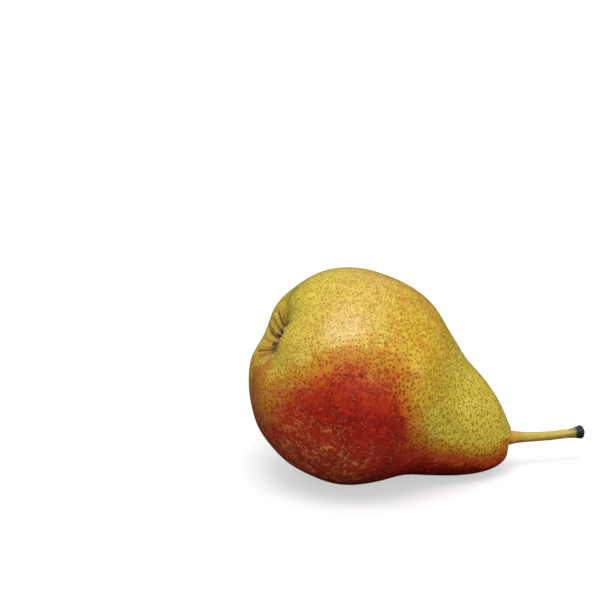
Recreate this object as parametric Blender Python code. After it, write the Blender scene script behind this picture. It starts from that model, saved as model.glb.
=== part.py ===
"""A whole pear lying on its side, with its cut stem and the dried flower left in its eye.

The fruit is drawn upright in its own frame: the eye is at the origin, +X runs along the
core line to the stem, +Z is the side that lies uppermost. An empty then tips it nose down
until belly and neck touch the surface, which is where a real one comes to rest.
Lengths are in metres, angles in degrees.
"""
import math

import bmesh
import bpy
import numpy as np
from mathutils import Matrix, Vector

# Lengthways: where each named place of the outline lies
EYE_TO_BELLY = 0.0312        # rim of the eye to the widest place
BELLY_TO_WAIST = 0.0318      # widest place to the start of the neck
WAIST_TO_CROWN = 0.0257      # start of the neck to the stem end

# Radii of the outline
BELLY_RADIUS = 0.0348
WAIST_RADIUS = 0.0206
EYE_RIM_RADIUS = 0.0127      # crest of the rim round the eye
EYE_FLOOR_MARGIN = 0.0021    # the eye's flat floor shows this far round the dried flower
EYE_DEPTH = 0.0068           # floor below the crest of the rim

# How full the outline's curves are: handle length as a share of the span it bends
RIM_FULLNESS = 0.45
EYE_SIDE_FULLNESS = 0.61
NECK_SIDE_FULLNESS = 0.49
WAIST_IN_FULLNESS = 0.36
WAIST_OUT_FULLNESS = 0.43
CROWN_FULLNESS = 0.45
EYE_WALL_FULLNESS = 0.55
EYE_LIP_FULLNESS = 0.45
EYE_WALL_LEAN = 0.15         # the wall's lower handle leans out by this share of its width
WAIST_TAPER = 0.37           # radius lost per length at the waist

# What makes it lopsided
NECK_BEND = 13.5             # the neck droops by this angle
BEND_BEFORE_WAIST = 0.0115   # the droop starts this far before the waist
EYE_RISE = 0.0021            # the eye sits this far above the core line
RIM_LOBES = 5                # soft swellings round the eye
RIM_LOBE_HEIGHT = 0.0006
RIM_FADE = 1.5               # power with which the rim's shape fades towards the belly
RIM_SKEW = 0.0006            # the lower side of the rim stands this far out
RIM_SKEW_TOWARDS = 150.0     # angle round the fruit, from the top towards -Y

# Flat spots where it rests
REST_FLAT_DEPTH = 0.00045    # how much the skin gives under the fruit's weight
STEEPEST_TILT = 60.0         # the nose-down angle is looked for up to this one
TILT_HALVINGS = 40

# Stem
STEM_LENGTH = 0.0245         # from the skin to the cut end
STEM_ROOT_RADIUS = 0.0024
STEM_SHAFT_RADIUS = 0.00142
STEM_TIP_RADIUS = 0.00205
STEM_SOCKET_DEPTH = 0.004
STEM_OFF_CENTRE = 0.0068     # the stem stands this far above the crown's centre
STEM_LIFT = 27.5             # angle between the stem and the core line
STEM_YAW = 4.0               # angle of the stem towards +Y
STEM_BOW = 0.0005
STEM_ROOT_TAPER = 0.16       # the root thins to the shaft over this share of the length
STEM_FLARE_FROM = 0.80       # the flare to the cut end starts at this share of the length
STEM_FLARE_POWER = 1.3
STEM_END_ROUND = 0.3         # length of the cut end's round edge, as a share of its radius
STEM_END_INSET = 0.4         # how far that edge draws in, as a share of its length

# Dried flower in the eye
CUP_OUTER_RADIUS = 0.0031
CUP_INNER_RADIUS = 0.0020
CUP_HEIGHT = 0.0017
CUP_SHOULDER = 0.8           # the cup's rim slopes above this share of its height
SEPAL_COUNT = 5
SEPAL_LENGTH = 0.0046
SEPAL_WIDTH = 0.0025
SEPAL_THICKNESS = 0.0006
SEPAL_CURL = 95.0            # angle between a sepal's foot and its tip
SEPAL_TAPER = 0.86           # share of its width that a sepal loses towards the tip
SEPAL_TAPER_POWER = 1.4
SEPAL_THINNING = 0.5         # share of its thickness that it loses
TUFT_CLEARANCE = 0.0006      # between the tuft and the inside of the cup
TUFT_HEIGHT = 0.0030
TUFT_STRANDS = 7
TUFT_STRAND_DEPTH = 0.16     # depth of the grooves between strands, as a share of the radius
TUFT_OUTLINE = ((0.0, 0.9), (0.25, 1.0), (0.6, 0.8), (0.85, 0.72), (1.0, 0.45))

GAP = 0.0003                 # between pieces that touch

# Facets
SHARP_ANGLE = 50.0           # edges sharper than this aren't shaded smooth
FRUIT_SIDES = 64
EYE_WALL_RINGS = 6
EYE_TO_BELLY_RINGS = 13
BELLY_TO_WAIST_RINGS = 11
WAIST_TO_CROWN_RINGS = 14
STEM_SIDES = 16
STEM_RINGS = 12
CUP_SIDES = 20
SEPAL_RINGS = 8
SEPAL_SIDES = 8
TUFT_SIDES = 28


def clear_scene():
    for old in list(bpy.data.objects):
        bpy.data.objects.remove(old, do_unlink=True)


def make_material(name, colour, roughness):
    material = bpy.data.materials.new(name)
    material.use_nodes = True
    shader = material.node_tree.nodes["Principled BSDF"]
    shader.inputs["Base Color"].default_value = (*colour, 1.0)
    shader.inputs["Roughness"].default_value = roughness
    shader.inputs["Metallic"].default_value = 0.0
    material.diffuse_color = (*colour, 1.0)
    return material


def empty(name, parent=None):
    holder = bpy.data.objects.new(name, None)
    holder.parent = parent
    bpy.context.collection.objects.link(holder)
    return holder


def piece(name, vertices, faces, material, parent):
    """A named object from a closed list of faces, its faces turned outwards."""
    mesh = bpy.data.meshes.new(name)
    mesh.from_pydata([tuple(v) for v in vertices], [], faces)
    work = bmesh.new()
    work.from_mesh(mesh)
    bmesh.ops.recalc_face_normals(work, faces=work.faces)
    work.to_mesh(mesh)
    work.free()
    mesh.shade_smooth()
    mesh.set_sharp_from_angle(angle=math.radians(SHARP_ANGLE))
    mesh.materials.append(material)
    made = bpy.data.objects.new(name, mesh)
    made.parent = parent
    bpy.context.collection.objects.link(made)
    return made


def cut_away(target, cutter):
    """Boolean difference with a guide that is never part of the model."""
    cutter.hide_render = True
    cutter.display_type = "WIRE"
    cut = target.modifiers.new("cut " + cutter.name, "BOOLEAN")
    cut.operation = "DIFFERENCE"
    cut.solver = "EXACT"
    cut.object = cutter


def bezier(start, start_handle, end_handle, end, steps):
    """Points on a cubic curve, without its last one."""
    t = np.arange(steps)[:, None] / steps
    points = np.array([start, start_handle, end_handle, end])
    weights = np.hstack([(1 - t) ** 3, 3 * t * (1 - t) ** 2, 3 * t * t * (1 - t), t ** 3])
    return weights @ points


def skin_rings(rings, closed=False):
    """Vertices and faces through equal rings: capped at both ends, or joined last to first."""
    count, sides = len(rings), len(rings[0])
    vertices = [point for ring in rings for point in ring]
    faces = []
    for i in range(count if closed else count - 1):
        here, following = i * sides, ((i + 1) % count) * sides
        for j in range(sides):
            k = (j + 1) % sides
            faces.append((here + j, here + k, following + k, following + j))
    if not closed:
        for first, ring in ((0, rings[0]), ((count - 1) * sides, rings[-1])):
            vertices.append(np.mean(ring, axis=0))
            faces += [(first + j, first + (j + 1) % sides, len(vertices) - 1)
                      for j in range(sides)]
    return vertices, faces


# ---------------------------------------------------------------- fruit

belly_at = EYE_TO_BELLY
waist_at = belly_at + BELLY_TO_WAIST
crown_at = waist_at + WAIST_TO_CROWN
eye_floor_radius = CUP_OUTER_RADIUS + EYE_FLOOR_MARGIN


def half_outline():
    """Station and radius from the eye's floor, over the rim, to the last ring at the crown."""
    wall = EYE_RIM_RADIUS - eye_floor_radius
    rim_handle = RIM_FULLNESS * (BELLY_RADIUS - EYE_RIM_RADIUS)
    waist_in = WAIST_IN_FULLNESS * BELLY_TO_WAIST
    waist_out = WAIST_OUT_FULLNESS * WAIST_TO_CROWN
    floor_edge = (EYE_DEPTH, eye_floor_radius)
    rim = (0.0, EYE_RIM_RADIUS)
    belly = (belly_at, BELLY_RADIUS)
    waist = (waist_at, WAIST_RADIUS)
    crown = (crown_at, 0.0)
    wall_foot = (EYE_DEPTH * (1.0 - EYE_WALL_FULLNESS), eye_floor_radius + EYE_WALL_LEAN * wall)
    lip = (0.0, EYE_RIM_RADIUS - EYE_LIP_FULLNESS * wall)
    eye_wall = bezier(floor_edge, wall_foot, lip, rim, EYE_WALL_RINGS)
    lower_half = bezier(rim, (0.0, EYE_RIM_RADIUS + rim_handle),
                        (belly_at - EYE_SIDE_FULLNESS * EYE_TO_BELLY, BELLY_RADIUS), belly,
                        EYE_TO_BELLY_RINGS)
    shoulder = bezier(belly, (belly_at + NECK_SIDE_FULLNESS * BELLY_TO_WAIST, BELLY_RADIUS),
                      (waist_at - waist_in, WAIST_RADIUS + WAIST_TAPER * waist_in), waist,
                      BELLY_TO_WAIST_RINGS)
    neck = bezier(waist, (waist_at + waist_out, WAIST_RADIUS - WAIST_TAPER * waist_out),
                  (crown_at, CROWN_FULLNESS * WAIST_RADIUS), crown, WAIST_TO_CROWN_RINGS)
    return np.vstack([eye_wall, lower_half, shoulder, neck])


def core_line(station):
    """Place and droop of the core line: straight, lifted at the eye, curved down in the neck."""
    bend_from = waist_at - BEND_BEFORE_WAIST
    curvature = math.radians(NECK_BEND) / (crown_at - bend_from)
    droop = curvature * max(0.0, station - bend_from)
    lift = EYE_RISE * max(0.0, 1.0 - station / belly_at) ** 2
    along = min(station, bend_from) + math.sin(droop) / curvature
    down = (1.0 - math.cos(droop)) / curvature
    return np.array([along, 0.0, lift - down]), droop


def fruit_ring(station, radius, towards_rim):
    """One ring of the skin. Angles run from the top towards -Y."""
    centre, droop = core_line(station)
    angle = 2 * math.pi * np.arange(FRUIT_SIDES) / FRUIT_SIDES
    skew = RIM_SKEW * np.cos(angle - math.radians(RIM_SKEW_TOWARDS))
    lobes = RIM_LOBE_HEIGHT * np.cos(RIM_LOBES * angle)
    out = (skew + lobes) * towards_rim
    up = np.array([math.sin(droop), 0.0, math.cos(droop)])
    ring = centre + radius * (np.cos(angle)[:, None] * up
                              - np.sin(angle)[:, None] * np.array([0.0, 1.0, 0.0]))
    ring[:, 0] -= out
    return ring


def fruit_rings():
    rings = []
    for index, (station, radius) in enumerate(half_outline()):
        if index < EYE_WALL_RINGS:
            towards_rim = (radius - eye_floor_radius) / (EYE_RIM_RADIUS - eye_floor_radius)
        else:
            towards_rim = max(0.0, 1.0 - station / belly_at) ** RIM_FADE
        rings.append(fruit_ring(station, radius, towards_rim))
    return rings


def resting_tilt(rings):
    """Nose-down angle at which the belly's and the neck's undersides are equally low."""
    underside = np.array([ring[FRUIT_SIDES // 2] for ring in rings])
    behind_waist = underside[:, 0] < waist_at
    low, high = 0.0, math.radians(STEEPEST_TILT)
    for _ in range(TILT_HALVINGS):
        tilt = (low + high) / 2
        height = underside[:, 2] * math.cos(tilt) - underside[:, 0] * math.sin(tilt)
        if height[behind_waist].min() < height[~behind_waist].min():
            low = tilt
        else:
            high = tilt
    return tilt, height.min()


def make_fruit(rings, holder):
    skin = make_material("fruit_skin", (0.63, 0.47, 0.08), 0.42)
    vertices, faces = skin_rings(rings)
    return piece("fruit", vertices, faces, skin, holder)


# ---------------------------------------------------------------- stem

def stem_frame():
    """Where the stem leaves the skin, and its own axes: along, up, sideways."""
    outline = half_outline()[-WAIST_TO_CROWN_RINGS:]
    station = np.interp(-STEM_OFF_CENTRE, -outline[:, 1], outline[:, 0])
    centre, droop = core_line(station)
    up_there = np.array([math.sin(droop), 0.0, math.cos(droop)])
    foot = centre + STEM_OFF_CENTRE * up_there
    lift, yaw = math.radians(STEM_LIFT), math.radians(STEM_YAW)
    along = np.array([math.cos(lift) * math.cos(yaw), math.sin(yaw),
                      math.sin(lift) * math.cos(yaw)])
    side = np.cross(np.array([0.0, 0.0, 1.0]), along)
    side /= np.linalg.norm(side)
    return foot, along, np.cross(along, side), side


def stem_profile():
    """Distance from the skin and radius: root, waist of the shaft, flared cut end."""
    root = [(-STEM_SOCKET_DEPTH, STEM_ROOT_RADIUS), (0.0, STEM_ROOT_RADIUS)]
    shaft = []
    for t in np.linspace(0.0, 1.0, STEM_RINGS)[1:]:
        swell = max(0.0, (t - STEM_FLARE_FROM) / (1.0 - STEM_FLARE_FROM)) ** STEM_FLARE_POWER
        taper = math.exp(-t / STEM_ROOT_TAPER)
        radius = (STEM_SHAFT_RADIUS + (STEM_ROOT_RADIUS - STEM_SHAFT_RADIUS) * taper
                  + (STEM_TIP_RADIUS - STEM_SHAFT_RADIUS) * swell)
        shaft.append((t * STEM_LENGTH, radius))
    end_round = STEM_END_ROUND * STEM_TIP_RADIUS
    tip = [(STEM_LENGTH + end_round, STEM_TIP_RADIUS - STEM_END_INSET * end_round)]
    return root + shaft + tip


def make_stem(holder):
    wood = make_material("stem_wood", (0.42, 0.33, 0.08), 0.6)
    foot, along, up, side = stem_frame()
    angle = 2 * math.pi * np.arange(STEM_SIDES) / STEM_SIDES
    rings = []
    for distance, radius in stem_profile():
        bow = STEM_BOW * math.sin(math.pi * max(0.0, distance) / STEM_LENGTH)
        centre = foot + along * distance - up * bow
        rings.append(centre + radius * (np.cos(angle)[:, None] * up
                                        + np.sin(angle)[:, None] * side))
    vertices, faces = skin_rings(rings)
    return piece("stem", vertices, faces, wood, holder)


def cut_stem_socket(fruit, holder):
    """A round hole in the crown, one gap wider and deeper than the stem's root."""
    foot, along, up, side = stem_frame()
    angle = 2 * math.pi * np.arange(STEM_SIDES) / STEM_SIDES
    radius = STEM_ROOT_RADIUS + GAP
    circle = radius * (np.cos(angle)[:, None] * up + np.sin(angle)[:, None] * side)
    past_the_skin = 3 * STEM_ROOT_RADIUS
    rings = [foot - along * (STEM_SOCKET_DEPTH + GAP) + circle, foot + along * past_the_skin + circle]
    vertices, faces = skin_rings(rings)
    cutter = piece("stem_socket_guide", vertices, faces, None, holder)
    cut_away(fruit, cutter)


# ---------------------------------------------------------------- dried flower in the eye

def make_cup(eye, dry):
    """The ring that carries the sepals, turned round the eye's own axis."""
    middle = (CUP_OUTER_RADIUS + CUP_INNER_RADIUS) / 2
    top = GAP + CUP_HEIGHT
    shoulder = GAP + CUP_HEIGHT * CUP_SHOULDER
    section = [(CUP_INNER_RADIUS, GAP), (CUP_OUTER_RADIUS, GAP), (CUP_OUTER_RADIUS, shoulder),
               (middle, top), (CUP_INNER_RADIUS, shoulder)]
    rings = []
    for turn in 2 * math.pi * np.arange(CUP_SIDES) / CUP_SIDES:
        rings.append([(radius * math.cos(turn), radius * math.sin(turn), height)
                      for radius, height in section])
    vertices, faces = skin_rings(rings, closed=True)
    return piece("calyx_cup", vertices, faces, dry, eye)


def make_sepal(number, eye, dry):
    """A curled pointed leaf that stands on the cup. It is drawn at +X, then turned in place."""
    steps = np.linspace(0.0, 1.0, SEPAL_RINGS)
    radius = (CUP_OUTER_RADIUS + CUP_INNER_RADIUS) / 2
    height = 2 * GAP + CUP_HEIGHT
    stride = SEPAL_LENGTH / (SEPAL_RINGS - 1)
    angle = 2 * math.pi * np.arange(SEPAL_SIDES) / SEPAL_SIDES
    rings = []
    for t in steps:
        lean = math.radians(SEPAL_CURL) * t
        outward = np.array([math.cos(lean), 0.0, -math.sin(lean)])
        half_width = SEPAL_WIDTH / 2 * (1.0 - SEPAL_TAPER * t ** SEPAL_TAPER_POWER)
        half_thick = SEPAL_THICKNESS / 2 * (1.0 - SEPAL_THINNING * t)
        centre = np.array([radius, 0.0, height])
        rings.append(centre + np.cos(angle)[:, None] * half_thick * outward
                     + np.sin(angle)[:, None] * half_width * np.array([0.0, 1.0, 0.0]))
        radius += stride * math.sin(lean)
        height += stride * math.cos(lean)
    vertices, faces = skin_rings(rings)
    sepal = piece(f"sepal_{number + 1}", vertices, faces, dry, eye)
    sepal.rotation_euler.z = 2 * math.pi * number / SEPAL_COUNT
    return sepal


def make_tuft(eye, dry):
    """The dried stamens, stuck together into one grooved tuft inside the cup.

    TUFT_OUTLINE gives its height and radius at each ring, as shares of the full ones.
    """
    tuft_radius = CUP_INNER_RADIUS - TUFT_CLEARANCE
    angle = 2 * math.pi * np.arange(TUFT_SIDES) / TUFT_SIDES
    strand = 1.0 - TUFT_STRAND_DEPTH * (0.5 - 0.5 * np.cos(TUFT_STRANDS * angle))
    rings = []
    for height_share, radius_share in TUFT_OUTLINE:
        radius = tuft_radius * radius_share * strand
        height = np.full_like(angle, GAP + TUFT_HEIGHT * height_share)
        rings.append(np.stack([radius * np.cos(angle), radius * np.sin(angle), height], axis=1))
    vertices, faces = skin_rings(rings)
    return piece("stamen_tuft", vertices, faces, dry, eye)


def make_dried_flower(holder):
    """An empty on the eye's floor, its +Z pointing out of the eye, carries all the pieces."""
    eye = empty("eye", holder)
    eye.location = (EYE_DEPTH, 0.0, core_line(EYE_DEPTH)[0][2])
    eye.rotation_euler = (0.0, math.radians(-90), 0.0)
    dry = make_material("calyx_dry", (0.10, 0.065, 0.035), 0.85)
    make_cup(eye, dry)
    for number in range(SEPAL_COUNT):
        make_sepal(number, eye, dry)
    make_tuft(eye, dry)


# ---------------------------------------------------------------- lay it down

def lay_down(holder, rings):
    """Tip the fruit nose down, sink its flat spots to the surface, and centre its box."""
    tilt, lowest = resting_tilt(rings)
    holder.rotation_euler = (0.0, tilt, 0.0)
    holder.location = (0.0, 0.0, -lowest - REST_FLAT_DEPTH)
    bpy.context.view_layer.update()
    low, high = Vector((1e9, 1e9, 1e9)), Vector((-1e9, -1e9, -1e9))
    for made in bpy.data.objects:
        if made.type != "MESH" or made.hide_render:
            continue
        for vertex in made.data.vertices:
            place = made.matrix_world @ vertex.co
            low = Vector(map(min, low, place))
            high = Vector(map(max, high, place))
    holder.location.x = -(low.x + high.x) / 2
    holder.location.y = -(low.y + high.y) / 2


def cut_rest_flats(fruit):
    """Everything below the surface is cut off: one flat under the belly, one under the neck."""
    work = bmesh.new()
    size = 4 * crown_at
    bmesh.ops.create_cube(work, size=size, matrix=Matrix.Translation((0.0, 0.0, -size / 2)))
    mesh = bpy.data.meshes.new("rest_guide")
    work.to_mesh(mesh)
    work.free()
    cutter = bpy.data.objects.new("rest_guide", mesh)
    bpy.context.collection.objects.link(cutter)
    cut_away(fruit, cutter)


def main():
    clear_scene()
    pear = empty("pear")
    rings = fruit_rings()
    fruit = make_fruit(rings, pear)
    make_stem(pear)
    make_dried_flower(pear)
    cut_stem_socket(fruit, pear)
    lay_down(pear, rings)
    cut_rest_flats(fruit)


main()
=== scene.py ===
# %% [markdown]
# # A ripe pear lying on its side
#
# The frame holds the pear's plain solids: the fruit, its cut stem and the dried flower in its eye.
# Everything here is made around them. Each solid is measured, a finer mesh is built on what was
# measured, and the finer mesh takes the solid's place. Places come from the solids, so a change
# of size there carries through.

# %% Load the frame
import math

import bpy
import numpy as np
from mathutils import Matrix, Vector
from mathutils.bvhtree import BVHTree


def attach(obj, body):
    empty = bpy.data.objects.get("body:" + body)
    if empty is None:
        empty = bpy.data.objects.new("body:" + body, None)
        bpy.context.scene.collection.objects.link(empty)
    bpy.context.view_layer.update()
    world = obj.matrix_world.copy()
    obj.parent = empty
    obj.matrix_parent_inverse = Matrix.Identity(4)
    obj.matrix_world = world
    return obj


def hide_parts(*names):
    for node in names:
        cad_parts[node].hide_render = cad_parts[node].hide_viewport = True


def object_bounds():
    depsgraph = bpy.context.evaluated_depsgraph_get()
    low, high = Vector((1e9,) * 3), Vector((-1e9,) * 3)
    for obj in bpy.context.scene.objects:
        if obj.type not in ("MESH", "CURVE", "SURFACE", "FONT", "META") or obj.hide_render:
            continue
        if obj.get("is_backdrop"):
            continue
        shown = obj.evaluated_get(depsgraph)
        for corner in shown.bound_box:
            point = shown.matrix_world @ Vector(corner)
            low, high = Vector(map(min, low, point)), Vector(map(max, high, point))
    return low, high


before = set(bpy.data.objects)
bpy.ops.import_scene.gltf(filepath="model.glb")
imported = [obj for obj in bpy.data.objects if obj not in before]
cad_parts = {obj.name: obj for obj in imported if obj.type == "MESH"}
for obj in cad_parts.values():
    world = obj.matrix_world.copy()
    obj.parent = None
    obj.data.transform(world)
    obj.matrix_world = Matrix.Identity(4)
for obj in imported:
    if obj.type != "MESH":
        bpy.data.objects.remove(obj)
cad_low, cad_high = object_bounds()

MM = 0.001
print("solids:", sorted(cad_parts))
print("size in mm:", [round(side / MM, 1) for side in cad_high - cad_low])

# %% [markdown]
# ## The core line
# A pear has no straight edges to measure from, but it does have an axis: the line from the eye,
# where the flower was, towards the stem. The dried cup in the eye was turned about that line, so
# the direction in which its points spread least is the axis. `up` and `front` complete a set of
# directions that later cells use for meshes and colours alike.

# %% Find the core line


def solid_points(node):
    """The corners of a solid, in metres."""
    return np.array([corner.co[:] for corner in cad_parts[node].data.vertices])


def unit(vector):
    return vector / np.linalg.norm(vector)


def main_directions(points):
    """Directions of a cloud of points, from the most to the least spread."""
    return np.linalg.svd(points - points.mean(axis=0), full_matrices=False)[2]


cup_points = solid_points("calyx_cup")
eye = cup_points.mean(axis=0)
core = main_directions(cup_points)[2]
core = unit(core * np.sign(core[0]))
up = unit(np.array([0.0, 0.0, 1.0]) - core[2] * core)
front = np.cross(core, up)
print("the core line dips by", round(math.degrees(math.asin(-core[2])), 1), "degrees")

# %% [markdown]
# ## Camera
# A long lens from a little above, turned slightly towards the eye's end. It stands nearly a metre
# away, so the fruit is seen without strong perspective. The fruit lies right of and below the
# middle of the frame, which is done by aiming past it and not by shifting the lens.

# %% Set the camera
VIEW_AZIMUTH = -10.0
VIEW_ELEVATION = 20.0
VIEW_DISTANCE = 0.9
LENS = 166.9
AIM_HEIGHT = 0.036
AIM_FROM_MIDDLE = -0.0067
PAST_LEFT = 0.0323
PAST_ABOVE = 0.0223


def way_to(azimuth, elevation):
    """Unit vector towards a place, in degrees. Azimuth counts from the front, towards the stem."""
    azimuth, elevation = math.radians(azimuth), math.radians(elevation)
    return Vector((math.sin(azimuth) * math.cos(elevation),
                   -math.cos(azimuth) * math.cos(elevation), math.sin(elevation)))


def add_object(name, data):
    made = bpy.data.objects.new(name, data)
    bpy.context.scene.collection.objects.link(made)
    return made


def set_camera():
    back = way_to(VIEW_AZIMUTH, VIEW_ELEVATION)
    right = way_to(VIEW_AZIMUTH + 90.0, 0.0)
    above = back.cross(right)
    fruit_aim = Vector((AIM_FROM_MIDDLE, 0.0, AIM_HEIGHT))
    data = bpy.data.cameras.new("camera")
    data.lens = LENS
    data.clip_start, data.clip_end = 0.01, 50.0
    camera = add_object("camera", data)
    camera.location = fruit_aim + back * VIEW_DISTANCE
    target = fruit_aim - right * PAST_LEFT + above * PAST_ABOVE
    camera.rotation_euler = (target - camera.location).to_track_quat("-Z", "Y").to_euler()
    bpy.context.scene.camera = camera
    print("camera at", [round(value, 3) for value in camera.location])


set_camera()

# %% [markdown]
# ## Meshes from grids
# Every natural shape here is a grid of points: rings of equal count, one after another. A helper
# turns such a grid into a closed mesh, with a single point at each end, and hands it to the frame:
# it rides on the only body, stands for its solid, and takes the finish that it is given.

# %% Make a piece from rings of points


def grid_faces(rings, sides):
    """Quads between rings that close on themselves."""
    faces = []
    for i in range(rings - 1):
        for j in range(sides):
            k = (j + 1) % sides
            faces.append((i * sides + j, i * sides + k, (i + 1) * sides + k, (i + 1) * sides + j))
    return faces


def closed_grid(grid):
    """Points and faces of a grid of rings, with each end closed to one point."""
    rings, sides = grid.shape[:2]
    points = np.vstack([grid.reshape(-1, 3), grid[0].mean(axis=0), grid[-1].mean(axis=0)])
    faces = grid_faces(rings, sides)
    start, end = rings * sides, rings * sides + 1
    last = (rings - 1) * sides
    faces += [((j + 1) % sides, j, start) for j in range(sides)]
    faces += [(last + j, last + (j + 1) % sides, end) for j in range(sides)]
    return points, faces


def joined(parts):
    """Several point-and-face pairs as one."""
    points, faces, count = [], [], 0
    for part_points, part_faces in parts:
        points.append(part_points)
        faces += [tuple(index + count for index in face) for face in part_faces]
        count += len(part_points)
    return np.vstack(points), faces


def make_piece(name, points, faces, material, slot, nodes, marks=None):
    """A piece on the body. marks are named values, one for each point, that a finish can read."""
    mesh = bpy.data.meshes.new(name)
    mesh.from_pydata(points.tolist(), [], faces)
    volume = sum(Vector(points[f[0]]).dot(Vector(points[f[1]]).cross(Vector(points[f[2]])))
                 for f in faces)
    if volume < 0:
        mesh.flip_normals()
    mesh.shade_smooth()
    mesh.materials.append(material)
    for mark, values in (marks or {}).items():
        mesh.attributes.new(mark, "FLOAT", "POINT").data.foreach_set("value", values)
    piece = add_object(name, mesh)
    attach(piece, "root")
    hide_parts(*nodes)
    size = (points.max(axis=0) - points.min(axis=0)) / MM
    print(name, len(faces), "faces,", [round(side, 1) for side in size], "mm")


print("faces between two rings of six points:", len(grid_faces(2, 6)))

# %% [markdown]
# ## The fruit's skin, measured by rays
# The solid's skin is flat between its corners. To get a fine and even mesh, rays are cast from
# inside the fruit and the places where they leave it are noted. One fan of rays can't see all of
# it, because the eye is a hollow. So each meridian is walked in four steps: straight out through
# the floor and wall of the eye, round the rim, along the body, and round the crown at the stem.

# %% Cast the rays
SIDES = 288
EYE_STEPS, RIM_STEPS, BODY_STEPS, CROWN_STEPS = 80, 90, 170, 100
RIM_FOCUS_DEPTH = 0.018       # the point that the rays round the rim start from, past the cup
CROWN_FOCUS = 0.070           # and the one for the rays round the crown
NEAR_AXIS = 0.002             # share of a step that the first and last rays keep from the axis

fruit_tree = BVHTree.FromObject(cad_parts["fruit"], bpy.context.evaluated_depsgraph_get())
from_eye = solid_points("fruit") - eye
along_core = from_eye @ core
across_core = np.linalg.norm(from_eye - along_core[:, None] * core, axis=1)
rim_radius = across_core[along_core.argmin()]
turns = 2 * math.pi * np.arange(SIDES) / SIDES


def leave_fruit(start, direction):
    """Where a ray from inside the fruit comes out."""
    return np.array(fruit_tree.ray_cast(Vector(start), Vector(direction))[0])


def middle_of_body(along):
    """How far the middle of the body lies above the core line there."""
    start = eye + core * along
    return ((leave_fruit(start, up) + leave_fruit(start, -up)) / 2 - start) @ up


def walk_steps():
    """Where each step's rays start, along and across the core line, and the way they lean."""
    quarter = math.pi / 2
    for t in np.linspace(NEAR_AXIS, 1.0, EYE_STEPS, endpoint=False):
        yield RIM_FOCUS_DEPTH, t * rim_radius, -quarter, 0.0
    for t in np.linspace(0.0, 1.0, RIM_STEPS, endpoint=False):
        yield RIM_FOCUS_DEPTH, rim_radius, -quarter * (1 - t), 0.0
    for t in np.linspace(0.0, 1.0, BODY_STEPS, endpoint=False):
        along = RIM_FOCUS_DEPTH + t * (CROWN_FOCUS - RIM_FOCUS_DEPTH)
        yield along, rim_radius * (1 - t), 0.0, t
    for t in np.linspace(0.0, 1.0 - NEAR_AXIS, CROWN_STEPS):
        yield CROWN_FOCUS, 0.0, quarter * t, 1.0


def walk_meridians():
    crown_middle = middle_of_body(CROWN_FOCUS)
    outward = np.cos(turns)[:, None] * up + np.sin(turns)[:, None] * front
    walked = []
    for along, across, lean, shift in walk_steps():
        centre = eye + core * along + up * crown_middle * shift
        starts = centre + outward * across
        directions = math.cos(lean) * outward + math.sin(lean) * core
        walked.append([leave_fruit(s, d) for s, d in zip(starts, directions)])
    return np.array(walked)


skin_walk = walk_meridians()
print("rays:", skin_walk.shape[0] * skin_walk.shape[1])

# %% [markdown]
# ## Even out and smooth the skin
# The steps are spaced again so that they are about equally far apart. The hole that the solid has
# for the stem's root is bridged, because on the fruit the flesh closes round the stem. Then the
# flats between the solid's corners are smoothed away. The filter `1 - (1 - g)^2`, with g a Gauss
# curve, removes short waves and leaves long ones at their full height, so nothing shrinks. Each
# meridian is joined with the one opposite, which makes a closed loop with no ends to treat.

# %% Space the stations evenly
STATIONS = 300


def even_spacing(walked, count):
    """The same stations on every meridian, equally far apart on a typical one."""
    stride = np.median(np.linalg.norm(np.diff(walked, axis=0), axis=2), axis=1)
    travelled = np.concatenate([[0.0], np.cumsum(stride)])
    wanted = np.linspace(0.0, travelled[-1], count)
    position = np.interp(wanted, travelled, np.arange(len(travelled)))
    lower = np.minimum(position.astype(int), len(walked) - 2)
    share = (position - lower)[:, None, None]
    return walked[lower] * (1 - share) + walked[lower + 1] * share


skin_grid = even_spacing(skin_walk, STATIONS)
print("skin grid:", skin_grid.shape[:2])

# %% Measure the stem's rings
RING_GAP = 0.4 * MM


def stem_rings():
    """Centre and radius of each ring of the stem's solid, from the root to the cut end."""
    points = solid_points("stem")
    axis = main_directions(points)[0]
    axis = axis * np.sign(axis[0])
    points = points[np.argsort(points @ axis)]
    breaks = np.nonzero(np.diff(points @ axis) > RING_GAP)[0] + 1
    rings = []
    for group in np.split(points, breaks):
        centre = (group.max(axis=0) + group.min(axis=0)) / 2
        rings.append((centre, np.linalg.norm(group - centre, axis=1).max()))
    return rings


stem_measured = stem_rings()
root_centre, root_radius = stem_measured[0]
skin_centre = stem_measured[1][0]
stem_way = unit(skin_centre - root_centre)
print("the stem's solid has", len(stem_measured), "rings")

# %% Bridge the stem's hole and smooth the skin
STEM_HOLE_MARGIN = 0.0006
BRIDGE_ROUNDS = 400
SMOOTH_ROUND = 3.0 * SIDES / 360
SMOOTH_ALONG = 3.4


def from_stem_line(points):
    """Distance of points from the line of the stem's root."""
    offset = points - skin_centre
    return np.linalg.norm(offset - (offset @ stem_way)[..., None] * stem_way, axis=-1)


def bridge(grid, hole):
    """Stretches the skin over a hole: each point there becomes the mean of its neighbours."""
    for _ in range(BRIDGE_ROUNDS):
        mean = (np.roll(grid, 1, axis=1) + np.roll(grid, -1, axis=1)
                + np.roll(grid, 1, axis=0) + np.roll(grid, -1, axis=0)) / 4
        grid[hole] = mean[hole]
    return grid


def keep_long_waves(values, width, axis):
    """Smooths closed rows of values. width is in steps of the row."""
    count = values.shape[axis]
    gauss = np.exp(-0.5 * (width * 2 * math.pi * np.fft.fftfreq(count)) ** 2)
    shape = [1] * values.ndim
    shape[axis] = count
    passed = (1 - (1 - gauss) ** 2).reshape(shape)
    return np.fft.ifft(np.fft.fft(values, axis=axis) * passed, axis=axis).real


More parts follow.
